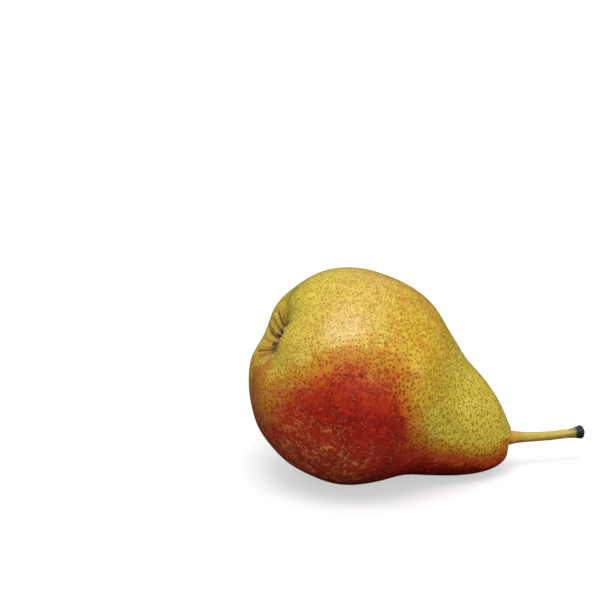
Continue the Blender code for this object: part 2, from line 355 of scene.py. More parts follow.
def smooth_skin(grid):
    half = grid.shape[1] // 2
    loop = np.concatenate([grid, np.roll(grid[-2:0:-1], half, axis=1)], axis=0)
    loop = keep_long_waves(loop, SMOOTH_ALONG, 0)
    grid = keep_long_waves(loop[:len(grid)], SMOOTH_ROUND, 1)
    for end in (0, -1):
        grid[end] = grid[end].mean(axis=0)
    return grid


near_crown = (skin_grid - eye) @ core > CROWN_FOCUS / 2
stem_hole = (from_stem_line(skin_grid) < root_radius + STEM_HOLE_MARGIN) & near_crown
stem_hole[-1] = False
skin_grid = smooth_skin(bridge(skin_grid, stem_hole))
print("points in the stem's hole:", int(stem_hole.sum()))

# %% [markdown]
# ## Swellings, folds and a collar
# A pear isn't turned on a lathe. Its sides swell and dip by a fraction of a millimetre, the skin
# is drawn into folds where it turns into the eye, and it puckers into a low collar round the stem.
# These are moved in along each point's own outward direction, with waves for what is regular and
# seeded random waves for what isn't.

# %% Outward directions and soft waves
chance = np.random.default_rng(7)


def outward_ways(grid):
    """Unit normals of a closed grid, by differences between neighbours."""
    round_way = np.roll(grid, -1, axis=1) - np.roll(grid, 1, axis=1)
    along_way = np.gradient(grid, axis=0)
    normal = np.cross(round_way, along_way)
    normal[0], normal[-1] = normal[1].mean(axis=0), normal[-2].mean(axis=0)
    normal /= np.linalg.norm(normal, axis=2)[..., None]
    middle = grid.mean(axis=(0, 1))
    outside = np.sign(np.sum((grid - middle) * normal, axis=2)[len(grid) // 2].mean())
    return normal * outside


def soft_waves(points, length, count):
    """A sum of plane waves in random directions, about `length` long, between about -1 and 1."""
    total = np.zeros(points.shape[:-1])
    for _ in range(count):
        way = unit(chance.normal(size=3))
        stretch = chance.uniform(0.7, 1.5)
        total += np.sin(points @ way * 2 * math.pi / (length * stretch)
                        + chance.uniform(0, 2 * math.pi))
    return total / math.sqrt(count)


def ease(value, low, high):
    """0 below low, 1 above high, and a smooth step between."""
    t = np.clip((value - low) / (high - low), 0.0, 1.0)
    return t * t * (3 - 2 * t)


skin_normals = outward_ways(skin_grid)
print("the first outward direction:", [round(float(part), 2) for part in skin_normals[0, 0]])

# %% Folds in the eye, a collar at the stem, and swellings
SWELL_HEIGHT = 0.00035
FOLD_HEIGHT = 0.00075
FOLDS = 11
FOLDS_START, FOLDS_END = (0.36, 0.60), (0.74, 1.12)   # shares of the rim's radius
COLLAR_HEIGHT = 0.0006
COLLAR_WIDTH = 0.0016
FLAT_BELOW = (0.0005, 0.004)  # heights over which swellings fade in above the flats it rests on

skin_along = (skin_grid - eye) @ core
skin_across = skin_grid - eye - skin_along[..., None] * core
skin_reach = np.linalg.norm(skin_across, axis=2)
skin_turn = np.arctan2(skin_across @ front, skin_across @ up)
off_ground = ease(skin_grid[..., 2], *FLAT_BELOW)


def eye_folds():
    """Ridges and creases on the wall of the eye: 1 on a ridge, -1 in the depth of a crease."""
    reach = skin_reach / rim_radius
    inside = ease(reach, *FOLDS_START) * (1 - ease(reach, *FOLDS_END))
    inside *= skin_along < 0.6 * rim_radius
    height = np.zeros_like(skin_turn)
    for place in np.linspace(0, 2 * math.pi, FOLDS, endpoint=False):
        place += chance.uniform(-0.12, 0.12)
        width = chance.uniform(0.055, 0.085)
        depth = chance.uniform(0.55, 1.1)
        bend = 0.10 * np.sin(reach * 4 + chance.uniform(0, 6))
        away = np.angle(np.exp(1j * (skin_turn - place - bend)))
        height -= depth * np.exp(-(away / width) ** 2)
        height += 0.8 * depth * np.exp(-((np.abs(away) - 2.4 * width) / (1.1 * width)) ** 2)
    return height * inside


def stem_collar():
    """A low ring of flesh with small puckers, where the skin meets the stem."""
    away = from_stem_line(skin_grid) - root_radius
    ring = np.exp(-((away - 0.0002) / COLLAR_WIDTH) ** 2) * near_crown
    offset = skin_grid - skin_centre
    pucker = np.arctan2(offset @ front, offset @ up)
    return ring * (1 + 0.25 * np.sin(7 * pucker + 1.0) + 0.15 * np.sin(12 * pucker))


swelling = SWELL_HEIGHT * (0.7 * soft_waves(skin_grid, 0.040, 6)
                           + 0.3 * soft_waves(skin_grid, 0.015, 8))
folds = eye_folds()
moved = swelling * off_ground + FOLD_HEIGHT * folds + COLLAR_HEIGHT * stem_collar()
skin_grid = skin_grid + moved[..., None] * skin_normals
skin_grid[..., 2] = np.maximum(skin_grid[..., 2], 0.0)
print("skin moved by up to", round(float(np.abs(moved).max()) / MM, 2), "mm")

# %% [markdown]
# ## Shader maths as plain expressions
# Materials are node graphs, which could be wired one link at a time. Written as sums and products
# they are easier to read and to change. So `Field` wraps one output of a node, and adding or
# multiplying fields adds Math nodes. `NodeGraph` makes any node from its type, its settings and
# what its inputs take, and `Finish` is a material made in that way.

# %% Field


class Field:
    """One output socket, with arithmetic."""

    def __init__(self, graph, socket):
        self.graph = graph
        self.socket = socket

    def other(self, name):
        """Another output of the same node."""
        return Field(self.graph, self.socket.node.outputs[name])

    def __add__(self, value):
        return self.graph.maths("ADD", self, value)

    def __radd__(self, value):
        return self.graph.maths("ADD", value, self)

    def __sub__(self, value):
        return self.graph.maths("SUBTRACT", self, value)

    def __rsub__(self, value):
        return self.graph.maths("SUBTRACT", value, self)

    def __mul__(self, value):
        return self.graph.maths("MULTIPLY", self, value)

    def __rmul__(self, value):
        return self.graph.maths("MULTIPLY", value, self)

    def __truediv__(self, value):
        return self.graph.maths("DIVIDE", self, value)


print("Field takes", [name for name in vars(Field) if name[2:5] in ("add", "sub", "mul", "tru")])

# %% NodeGraph


class NodeGraph:
    """The nodes and links of a material or of the world."""

    def __init__(self, tree):
        self.nodes = tree.nodes
        self.links = tree.links

    def feed(self, socket, value):
        if isinstance(value, Field):
            self.links.new(value.socket, socket)
        elif isinstance(value, (tuple, list, np.ndarray)):
            value = tuple(float(part) for part in value)
            socket.default_value = value if len(value) == len(socket.default_value) else (*value, 1)
        else:
            socket.default_value = value

    def node(self, kind, settings=None, inputs=None, output=0):
        made = self.nodes.new("ShaderNode" + kind)
        for name, value in (settings or {}).items():
            if name == "stops":
                self.set_stops(made.color_ramp, value)
            elif name == "spread":
                made.color_ramp.interpolation = value
            else:
                setattr(made, name, value)
        for name, value in (inputs or {}).items():
            self.feed(made.inputs[name], value)
        return Field(self, made.outputs[output])

    @staticmethod
    def set_stops(ramp, stops):
        while len(ramp.elements) < len(stops):
            ramp.elements.new(1.0)
        for element, (place, shade) in zip(ramp.elements, stops):
            element.position = place
            element.color = (shade, shade, shade, 1) if isinstance(shade, float) else (*shade, 1)

    def maths(self, operation, *values):
        return self.node("Math", {"operation": operation}, dict(enumerate(values)))

    def vector(self, operation, *values, output="Vector"):
        return self.node("VectorMath", {"operation": operation}, dict(enumerate(values)), output)

    def dot(self, one, two):
        return self.vector("DOT_PRODUCT", one, two, output="Value")

    def length(self, vector):
        return self.vector("LENGTH", vector, output="Value")

    def step(self, value, low, high):
        """0 at low, 1 at high, smooth between."""
        return self.node("MapRange", {"interpolation_type": "SMOOTHSTEP"},
                         {"Value": value, "From Min": low, "From Max": high})

    def mix(self, share, one, two):
        """Colour one where share is 0, colour two where it is 1."""
        return self.node("Mix", {"data_type": "RGBA", "clamp_factor": True},
                         {0: share, 6: one, 7: two}, 2)

    def noise(self, place, length, detail=2.0, rough=0.5, twist=0.0):
        """Noise from about -1 to 1, its swells about `length` apart in the units of place."""
        made = self.node("TexNoise", {"noise_dimensions": "3D"},
                         {"Vector": place, "Scale": 1.0 / length, "Detail": detail,
                          "Roughness": rough, "Distortion": twist}, "Fac")
        return made * 4.0 - 2.0

    def in_millimetres(self):
        """The place being coloured, in millimetres."""
        place = self.vector("SCALE", self.node("TexCoord", output="Object"))
        self.feed(place.socket.node.inputs["Scale"], 1 / MM)
        return place


print("NodeGraph has", [name for name in vars(NodeGraph) if name[0] != "_"])

# %% Finish and paint


class Finish(NodeGraph):
    """A material. What is the same all over the surface is given when it is made."""

    def __init__(self, name, **steady):
        self.material = bpy.data.materials.new(name)
        self.material.use_nodes = True
        super().__init__(self.material.node_tree)
        self.shader = self.nodes["Principled BSDF"]
        self.out(**steady)

    def out(self, **fields):
        for socket, field in fields.items():
            self.feed(self.shader.inputs[socket.replace("_", " ")], field)


def paint(red, green, blue):
    """A paint given on a screen's scale of 0 to 255, as the linear colour a shader wants."""
    return tuple(((part / 255 + 0.055) / 1.055) ** 2.4 for part in (red, green, blue))


print("a mid grey of 128 is", round(paint(128, 128, 128)[0], 3), "in linear light")

# %% [markdown]
# ## The skin's colour, step 1: where on the fruit
# The colours of a pear follow its growth: along the core line, and round it. A painted picture
# wrapped round the mesh would show a seam, so the shader works from the place itself. It finds
# three distances in millimetres, along, up and to the front, and from them how far round a point
# lies from the middle of the side that faced the sun. Wax makes the skin less of a mirror than
# wet flesh, so its specular level is low, and a little light passes into it.

# %% Place on the fruit
SUNNY_TURN = 150.0            # degrees from the top, towards the front
skin = Finish("pear_skin", IOR=1.42, Specular_IOR_Level=0.24, Subsurface_Weight=0.08,
              Subsurface_Scale=0.0008)
place = skin.in_millimetres()
normal = skin.node("NewGeometry", output="Normal")
offset = skin.vector("SUBTRACT", place, eye / MM)
along = skin.dot(offset, core)
above = skin.dot(offset, up)
ahead = skin.dot(offset, front)
height = skin.node("SeparateXYZ", inputs={"Vector": place}, output="Z")
from_rim = along - along_core.min() / MM
reach = skin.maths("SQRT", above * above + ahead * ahead)

sun = math.radians(SUNNY_TURN)
to_sun = above * math.cos(sun) + ahead * math.sin(sun)
beside_sun = ahead * math.cos(sun) - above * math.sin(sun)
from_sun = skin.maths("ARCTAN2", skin.maths("ABSOLUTE", beside_sun), to_sun)
print("sunny side at", SUNNY_TURN, "degrees from the top")

# %% [markdown]
# ## Step 2: noise at many scales
# Living skin is uneven at every scale: wide patches, blotches of a few millimetres, mottling and
# grain. The noise is laid out on turned coordinates, because its cells line up with the axes and
# would otherwise show as straight edges. Streaks and flecks are noise on coordinates that are
# squeezed along the core line, so they come out long in that direction.

# %% Noise fields
NOISE_TURN = (0.61, 0.42, 0.93)
STREAK_STRETCH = 1.5
turned = skin.node("VectorRotate", {"rotation_type": "EULER_XYZ"},
                   {"Vector": place, "Rotation": NOISE_TURN})
patches = skin.noise(turned, 12.0, 1.0)
blotches = skin.noise(turned, 5.0, 2.0, 0.55, 0.5)
mottle = skin.noise(turned, 1.7, 3.0, 0.6)
grain = skin.noise(turned, 0.55, 2.0, 0.7)
stretched = skin.node("CombineXYZ", inputs={"X": along / STREAK_STRETCH, "Y": above, "Z": ahead})
streaks = skin.noise(stretched, 1.6, 1.5, 0.55, 1.0)
flecks = skin.noise(stretched, 0.62, 2.0, 0.6, 0.8)
print("noise: patches, blotches, mottle, grain, streaks, flecks")

# %% [markdown]
# ## Step 3: lenticels
# The dots on a pear are lenticels, pores half a millimetre to nearly one across. Thousands of small
# meshes would be slow, and a 3D Voronoi texture does it with no seams: it has one centre in each
# cell of space. The distance is taken along the skin only: the part of it that points out of the
# skin is left out, and a centre too far above or below the skin fades away. That keeps the dots
# round. A slow wobble takes the rows out of them. On the belly they are small and close together,
# and on the neck, which grew less, they are larger and further apart, so there are two layers.

# %% Lenticels
BELLY_SPACING, BELLY_DOT_RADIUS = 1.18, 0.25
NECK_SPACING, NECK_DOT_RADIUS = 1.34, 0.345
DOT_JITTER = 0.72
DOT_SOFTNESS = 0.60
DOT_DEPTH = (0.34, 0.50)      # shares of the spacing, over which a centre off the skin fades
WOBBLE_SCALE, WOBBLE_REACH = 0.2, 1.6
NECK_DOTS_FROM, NECK_DOTS_FULL = 20.0, 48.0


def lenticels(where, spacing, radius):
    """Discs of random size: 1 inside, 0 outside. Also the halo that surrounds each."""
    cells = skin.node("TexVoronoi", {"voronoi_dimensions": "3D", "feature": "F1"},
                      {"Vector": where, "Scale": 1.0 / spacing, "Randomness": DOT_JITTER}, "Position")
    apart = skin.vector("SUBTRACT", cells, where)
    out_of_skin = skin.dot(apart, normal)
    length = skin.length(apart)
    on_skin = skin.maths("SQRT", skin.maths("MAXIMUM", length * length
                                            - out_of_skin * out_of_skin, 0.0))
    fade_from, fade_to = (share * spacing for share in DOT_DEPTH)
    near = 1.0 - skin.step(skin.maths("ABSOLUTE", out_of_skin), fade_from, fade_to)
    luck = skin.node("SeparateColor", inputs={"Color": cells.other("Color")}, output="Red")
    size = radius * (0.75 + 0.5 * luck)
    disc = 1.0 - skin.step(on_skin / size, 1.0 - DOT_SOFTNESS, 1.0 + DOT_SOFTNESS)
    halo = 1.0 - skin.step(on_skin / spacing, 0.0, 0.55)
    return disc * near, halo * near


wobble = skin.node("TexNoise", inputs={"Vector": place, "Scale": WOBBLE_SCALE, "Detail": 1.0},
                   output="Color")
wobbled = skin.vector("ADD", place, skin.vector("MULTIPLY", wobble, (WOBBLE_REACH,) * 3))
neck_dots, neck_halo = lenticels(wobbled, NECK_SPACING, NECK_DOT_RADIUS)
belly_dots, belly_halo = lenticels(wobbled, BELLY_SPACING, BELLY_DOT_RADIUS)
on_neck = skin.step(from_rim + patches * 3.0 + ahead * 0.15, NECK_DOTS_FROM, NECK_DOTS_FULL)
dots = skin.maths("MAXIMUM", neck_dots * skin.step(on_neck, 0.05, 0.6),
                  belly_dots * (1.0 - skin.step(on_neck, 0.4, 0.95)))
halo = skin.maths("MAXIMUM", neck_halo * on_neck, belly_halo * (1.0 - on_neck))
print("lenticels", BELLY_SPACING, "mm apart on the belly,", NECK_SPACING, "mm on the neck")

# %% [markdown]
# ## Step 4: the blush
# The sun reddens one side. Its edge isn't a line: the red gathers round the lenticels first,
# breaks into freckles, and streaks of it run along the fruit. A ramp says how wide the blush is at
# each distance from the eye, in degrees each way. What is left of that width at a point, with
# noise and the pull of the nearest lenticel added, is the depth of colour in millimetres. The
# noise is what breaks the edge up. Near the eye the red stays thin, and on the neck its edge is
# sharper than on the belly.

# %% Blush
BLUSH_LENGTH = 90.0
BLUSH_WIDTHS = [(0.0, 0.0), (3.0, 12.0), (6.0, 36.0), (10.0, 56.0), (16.0, 70.0), (26.0, 76.0),
                (38.0, 74.0), (46.0, 55.0), (58.0, 42.0), (72.0, 37.0), (88.0, 42.0)]
DEEPEST = 15.0                # the depth of colour goes no further than this, in millimetres
EYE_LOSS = 19.0               # and at the rim of the eye it stops this much sooner
THIN_AT_EYE = (2.0, 18.0)     # distances from the rim between which the red grows full
SHARP_EDGE = (46.0, 60.0)     # and those between which its edge grows sharper, by this share
SHARPER_BY = 1.1


def blush_width():
    stops = [(position / BLUSH_LENGTH, width / 180.0) for position, width in BLUSH_WIDTHS]
    return skin.node("ValToRGB", {"stops": stops, "spread": "CARDINAL"},
                     {"Fac": from_rim / BLUSH_LENGTH}, "Color") * math.pi


in_eye = (1.0 - skin.step(reach, 8.5, 12.5)) * (1.0 - skin.step(along, 20.0, 30.0))
inside_blush = (blush_width() - from_sun) * reach - in_eye * 10.0
thin_at_eye = 1.0 - skin.step(from_rim + blotches, *THIN_AT_EYE)
sharper = 1.0 + SHARPER_BY * skin.step(from_rim, *SHARP_EDGE)
unrest = (patches * 1.4 + blotches * 2.8 + mottle * 2.4 + streaks * 1.1 + grain * 1.9
          + halo * 3.4 - 1.9)
depth = skin.maths("MINIMUM", inside_blush, DEEPEST - thin_at_eye * EYE_LOSS) * sharper + unrest
print("blush measured at", len(BLUSH_WIDTHS), "places")

# %% [markdown]
# ## Step 5: the ground colour
# Under the red a pear is yellow-green at the neck and near the eye, where it ripens last, and
# golden yellow on the upper belly. Each colour is laid over the last one by a share between 0 and
# 1, as glazes are. Warm blotches sit on the shoulder, and a fine tan tooth over everything keeps
# the yellow from looking like plastic.

# %% Ground colour
GREEN_YELLOW = paint(231, 209, 82)
YELLOW = paint(226, 196, 90)
GOLD = paint(226, 182, 46)
OLIVE = paint(218, 202, 72)
TAN = paint(158, 116, 8)
WARM = paint(216, 132, 56)
NECK_GREEN = (42.0, 60.0)     # distances from the rim of the eye, in millimetres
EYE_GREEN = (4.0, 22.0)
GOLD_BELLY = (16.0, 36.0)
SHOULDER_STARTS, SHOULDER_ENDS = (16.0, 26.0), (42.0, 54.0)

neck_green = skin.step(from_rim + patches * 4.0, *NECK_GREEN)
eye_green = 1.0 - skin.step(from_rim + patches * 2.5 + ahead * 0.5, *EYE_GREEN)
green = skin.maths("MAXIMUM", neck_green, eye_green * 0.8)
green = skin.step(green + blotches * 0.12 + mottle * 0.12, 0.05, 1.0)
gold = skin.step(blotches * 0.25 + mottle * 0.3 + skin.step(from_rim, *GOLD_BELLY), 0.0, 1.4)
on_shoulder = skin.step(from_rim, *SHOULDER_STARTS) * (1.0 - skin.step(from_rim, *SHOULDER_ENDS))
warm = skin.step(blotches + patches * 0.6 + grain * 0.25, 0.1, 1.0) * on_shoulder
tooth = skin.step(grain + mottle * 0.55 + blotches * 0.2, -0.8, 1.0)

ground = skin.mix(gold, YELLOW, GOLD)
ground = skin.mix(green, ground, GREEN_YELLOW)
ground = skin.mix(eye_green * 0.45, ground, OLIVE)
ground = skin.mix(warm * 0.45, ground, WARM)
ground = skin.mix(tooth * 0.66, ground, TAN)
print("ground colour: five glazes over yellow")

# %% [markdown]
# ## Step 6: the reds
# A ramp over the depth of colour goes from yellow through orange to red. One red all over would
# look painted, so clouds of crimson and of a lighter flush lie on it, a painted shade of plum
# darkens the skin close to the floor, where the fruit shades itself, and on the neck, where the red
# is thin, its edge glows orange.

# %% Reds
FLUSH = paint(214, 84, 34)
CRIMSON = paint(118, 10, 14)
FLOOR_SHADE_PLUM = paint(84, 6, 8)
BLUSH_PAINTS = [(-15.0, (214, 172, 60)), (-9.0, (202, 142, 42)), (-4.0, (192, 112, 32)),
                (-1.0, (188, 82, 30)), (2.0, (176, 50, 22)), (9.0, (170, 35, 20)),
                (19.0, (160, 30, 24))]
BLUSH_FROM, BLUSH_TO = BLUSH_PAINTS[0][0], BLUSH_PAINTS[-1][0]
FLOOR_SHADE_HEIGHTS = (2.0, 15.0)        # heights above the floor between which the painted shade fades out
PAST_EYE = (14.0, 34.0)       # and distances from the rim between which it fades in
NECK_FLUSH = (48.0, 66.0)


def blush_stops():
    span = BLUSH_TO - BLUSH_FROM
    return [((at - BLUSH_FROM) / span, paint(*shade)) for at, shade in BLUSH_PAINTS]


reds = skin.node("ValToRGB", {"stops": blush_stops()},
                 {"Fac": (depth - BLUSH_FROM) / (BLUSH_TO - BLUSH_FROM)}, "Color")
red = skin.step(depth, -1.5, 3.0)
cloud = blotches * 0.9 + mottle * 0.9 + grain * 0.8 + patches * 0.4
dense = skin.step(cloud, -0.5, 1.3)
thin = 1.0 - skin.step(cloud, -1.5, -0.1)
# Painted shade: the skin is darker close to the floor, where the fruit's own shadow falls.
low = (1.0 - skin.step(height - mottle * 2.0, *FLOOR_SHADE_HEIGHTS)) * skin.step(from_rim, *PAST_EYE)
edge = red * (1.0 - skin.step(depth + blotches, 2.0, 10.0))
neck_edge = skin.step(from_rim, *NECK_FLUSH) * edge

colour = skin.mix(skin.step(depth, BLUSH_FROM, BLUSH_FROM + 5.0), ground, reds)
colour = skin.mix(dense * red * 0.85, colour, CRIMSON)
colour = skin.mix(thin * red * 0.22, colour, FLUSH)
# Painted shade: plum laid over the red close to the floor.
colour = skin.mix(low * red * 0.75, colour, FLOOR_SHADE_PLUM)
colour = skin.mix(neck_edge * (0.95 - 0.5 * dense), colour, FLUSH)
print("reds:", len(BLUSH_PAINTS), "stops, then crimson, flush and plum")

# %% [markdown]
# ## Step 7: pale streaks and flecks
# The red skin is scarred by short, pale, worm-like streaks and by flecks, most of them low on the
# belly and near the eye. The middle level of a noise is a set of thin winding lines, so the
# streaks are where `streaks` is close to 0, broken up by the coarser noises. Flecks are simply
# the peaks of a finer noise.

# %% Streaks and flecks
PALE = paint(246, 142, 80)
PALE_GOLD = paint(228, 172, 88)
STREAK_WIDTH = (0.05, 0.36)   # noise levels, from the middle of a streak to its edge

shaded = skin.step(0.0 - above, 2.0, 18.0) * (1.0 - skin.step(from_rim, 36.0, 52.0))
shaded = skin.maths("MAXIMUM", shaded, 1.0 - skin.step(from_rim, 6.0, 20.0))
worm = 1.0 - skin.step(skin.maths("ABSOLUTE", streaks), *STREAK_WIDTH)
broken = skin.step(mottle * 0.7 + blotches * 0.5 + grain * 0.3 + shaded * 0.75, 0.30, 1.20)
fleck = skin.step(flecks + blotches * 0.2 + shaded * 0.25, 0.30, 1.25)
marked = skin.step(depth, -9.0, -1.0)
mark_colour = skin.mix(skin.step(depth, -5.0, 3.0), PALE_GOLD, PALE)

colour = skin.mix(worm * broken * marked * (0.46 + 0.34 * shaded), colour, mark_colour)
colour = skin.mix(fleck * marked * 0.52, colour, mark_colour)
print("pale marks on the red")

# %% [markdown]
# ## Step 8: dots, russet and painted shade in the creases
# Lenticels are brown on the belly and olive on the neck, redden towards the blush and all but
# vanish in it. Russet, the rough brown skin of a pear, gathers in the eye and round the stem, and
# the skin is a darker brown towards the cup. The mesh carries a mark, `fold`, that says how deep
# each point lies in a crease, and a painted shade darkens the creases by it, so the shade follows
# the shape.

# %% Dots and russet
BELLY_DOT = paint(156, 108, 0)
NECK_DOT = paint(142, 113, 0)
DARK_RED = paint(122, 68, 0)
MAROON = paint(112, 28, 0)
RUSSET = paint(176, 128, 56)
NEAR_CUP_BROWN = paint(126, 82, 34)
CREASE_SHADE_BROWN = paint(120, 62, 14)
STEM_RUSSET = paint(176, 112, 40)

dot_colour = skin.mix(on_neck, BELLY_DOT, NECK_DOT)
dot_colour = skin.mix(skin.step(depth, -15.0, -4.0), dot_colour, DARK_RED)
dot_colour = skin.mix(skin.step(depth, -8.0, 2.0), dot_colour, MAROON)
dot_show = 0.92 - red * (0.76 - 0.34 * thin_at_eye)
near_stem = skin.length(skin.vector("SUBTRACT", place, skin_centre / MM)) + mottle * 0.8
near_cup = skin.length(offset) + mottle * 0.8
fold = skin.node("Attribute", {"attribute_name": "fold"}, output="Fac")
# Painted shade: the deeper a point lies in a fold of the eye, the darker it is painted.
crease = skin.step(fold + mottle * 0.1, -0.15, -0.75)

colour = skin.mix(dots * dot_show, colour, dot_colour)
colour = skin.mix(in_eye * 0.55, colour, RUSSET)
# Darker brown towards the cup, at the bottom of the eye.
colour = skin.mix((1.0 - skin.step(near_cup, 3.5, 9.0)) * 0.5, colour, NEAR_CUP_BROWN)
# Painted shade in the eye's creases.
colour = skin.mix(crease * 0.8, colour, CREASE_SHADE_BROWN)
colour = skin.mix((1.0 - skin.step(near_stem, 2.6, 5.5)) * 0.5, colour, STEM_RUSSET)
print("deepest crease:", round(float(folds.min()), 2))

# %% [markdown]
# ## Step 9: gloss and relief
# The skin is waxy, so it has a soft sheen and no sharp reflections. Lenticels and mottling stand
# a few hundredths of a millimetre proud. A Bump node is enough for relief this low: it tilts the
# light without adding points. Russet skin has lost its wax, so the eye is dull.

# %% Gloss and relief
SKIN_GLOSS = 0.29
BUMP_STRENGTH = 0.6
relief = dots * 0.012 + grain * 0.008 + mottle * 0.028 + blotches * 0.05
bump = skin.node("Bump", inputs={"Strength": BUMP_STRENGTH, "Distance": MM, "Height": relief})
skin.out(Base_Color=colour, Roughness=SKIN_GLOSS + mottle * 0.03 + in_eye * 0.3, Normal=bump)
fruit_points, fruit_faces = closed_grid(skin_grid[1:-1])
fold_marks = np.append(folds[1:-1].ravel(), [0.0, 0.0])
make_piece("fruit_fine", fruit_points, fruit_faces, skin.material, "fruit_skin", ["fruit"],
           {"fold": fold_marks})
print("nodes in the skin's finish:", len(skin.nodes))

# %% [markdown]
# ## The stem
# The stem is wood: ribbed along its length, thick where it leaves the flesh, thin in the middle
# and swollen again where it broke from the twig. Its cut end has dried black and rough. The rings
# of the solid give the centre and thickness at each place, and curves through them give the
# hundreds of rings that the ribs and knots need.

# %% Curves and rings


def curve_through(values, places, wanted):
    """A smooth curve through given values, by cubic pieces with matching slopes."""
    slopes = np.gradient(values, places, axis=0)
    index = np.clip(np.searchsorted(places, wanted, side="right") - 1, 0, len(places) - 2)
    span = (places[index + 1] - places[index])[:, None]
    t = (wanted - places[index])[:, None] / span
    return ((2 * t ** 3 - 3 * t ** 2 + 1) * values[index] + (t ** 3 - 2 * t ** 2 + t) * span
            * slopes[index] + (3 * t ** 2 - 2 * t ** 3) * values[index + 1]
            + (t ** 3 - t ** 2) * span * slopes[index + 1])


def rings_about(middle, size, turn, first, second):
    """Rings of radius size about a line. first and second point to turns of 0 and 90 degrees."""
    return middle[:, None] + size[..., None] * (np.cos(turn)[:, None] * first[..., None, :]
                                                + np.sin(turn)[:, None] * second[..., None, :])


stem_radii = [round(radius / MM, 2) for _, radius in stem_measured]
print("radii of the stem's solid from", min(stem_radii), "to", max(stem_radii), "mm")

# %% Shape the stem
STEM_SIDES, STEM_STATIONS = 72, 190
RIB_HEIGHT = 0.00004
RIB_COUNTS = (5, 9, 14, 23)
STEM_TWIST = 0.5
KNOT_HEIGHT = 0.00013
KNOTS = ((0.30, 0.1, 0.030), (0.56, 2.6, 0.024), (0.80, 4.4, 0.028))  # place, turn and length
END_ROUGHNESS = 0.00011


def shape_stem():
    centres = np.array([centre for centre, _ in stem_measured])
    radii = np.array([[radius] for _, radius in stem_measured])
    places = np.concatenate([[0.0], np.cumsum(np.linalg.norm(np.diff(centres, axis=0), axis=1))])
    wanted = np.linspace(0.0, places[-1], STEM_STATIONS)
    middle = curve_through(centres, places, wanted)
    way = np.gradient(middle, axis=0)
    way /= np.linalg.norm(way, axis=1)[:, None]
    side = np.cross(way, (0.0, 0.0, 1.0))
    side /= np.linalg.norm(side, axis=1)[:, None]
    top = np.cross(side, way)
    shown = places[-1] - places[1]
    t = (wanted[:, None] - places[1]) / shown
    turn = 2 * math.pi * np.arange(STEM_SIDES) / STEM_SIDES
    ribs = 0.0
    for count in RIB_COUNTS:
        phase = chance.uniform(0, 2 * math.pi)
        wander = 0.6 * np.sin(4 * t + phase)
        ribs += np.sin(count * (turn + STEM_TWIST * t) + phase + wander) / math.sqrt(count) * 2
    size = curve_through(radii, places, wanted)
    size = size + RIB_HEIGHT * ribs * (0.35 + 0.65 * ease(t, 0.0, 0.16))
    for at, way_round, wide in KNOTS:
        away = np.angle(np.exp(1j * (turn - way_round)))
        size += KNOT_HEIGHT * np.exp(-((t - at) / wide) ** 2 - (away / 0.5) ** 2)
    grid = rings_about(middle, size, turn, top, side)
    rough = soft_waves(grid, 0.0016, 10) + 0.5 * soft_waves(grid, 0.0007, 10)
    size += END_ROUGHNESS * ease(t, 0.86, 0.98) * rough
    return rings_about(middle, size, turn, top, side), way[-1], middle[-1], shown


stem_grid, stem_end_way, stem_end, stem_shown = shape_stem()
print("stem shows", round(stem_shown / MM, 1), "mm")

# %% Close the cut end
CUT_RINGS = ((0.93, 0.00016), (0.82, 0.00020), (0.66, 0.00012), (0.48, -0.00006),
             (0.30, -0.00016), (0.14, -0.00020))    # share of the radius, and rise
CUT_ROUGHNESS = 0.00012


def close_cut_end(grid, way):
    """Rings that draw the cut end in over a rounded edge to a sunken, broken face."""
    last, centre = grid[-1], grid[-1].mean(axis=0)
    rings = [grid]
    for share, rise in CUT_RINGS:
        ring = centre + (last - centre) * share + way * rise
        ring = ring + way * CUT_ROUGHNESS * soft_waves(ring, 0.0012, 8)[:, None]
        rings.append(ring[None])
    return np.concatenate(rings)


stem_grid = close_cut_end(stem_grid, stem_end_way)
print("rings of the stem:", len(stem_grid))

# %% [markdown]
# ## The stem's finish
# Fresh stems keep some green. The foot has a touch of the blush, brown fibres run along the
# shaft, and the last few millimetres are black and matte. A painted shade darkens the shaft's
# underside. Distance along the stem is one dot product, and stretched noise gives the fibres.

# %% Finish the stem
GREEN_BARK = paint(196, 176, 64)
BROWN_BARK = paint(146, 112, 36)
FOOT_RED = paint(196, 98, 36)
UNDERSIDE_SHADE_BROWN = paint(120, 84, 36)
SPECK_BROWN = paint(92, 68, 26)
DRY_BROWN = paint(112, 86, 44)
BLACK, DULL_BLACK = paint(24, 22, 22), paint(44, 41, 40)
FIBRE_STRETCH = 9.0
BLACK_FROM, BLACK_FULL = 3.3, 2.0     # millimetres before the end

wood = Finish("stem_bark", IOR=1.45)
wood_place = wood.in_millimetres()
wood_offset = wood.vector("SUBTRACT", wood_place, skin_centre / MM)
wood_line = unit(stem_end - skin_centre)
wood_side = np.cross(wood_line, (0.0, 0.0, 1.0))
wood_top = np.cross(wood_side, wood_line)
out_along = wood.dot(wood_offset, wood_line)
out_top = wood.dot(wood_offset, wood_top)
fibre_place = wood.node("CombineXYZ", inputs={"X": out_along / FIBRE_STRETCH,
                                              "Y": wood.dot(wood_offset, wood_side),
                                              "Z": out_top})
fibres = wood.noise(fibre_place, 0.45, 4.0, 0.65)
blotch = wood.noise(wood_place, 2.4, 3.0, 0.6)
specks = wood.noise(wood_place, 0.35, 2.0, 0.6)

end = stem_shown / MM
foot = 1.0 - wood.step(out_along + blotch * 0.8, 0.5, 6.5)
foot_red = foot * wood.step(blotch + specks * 0.4, -1.2, 0.6)
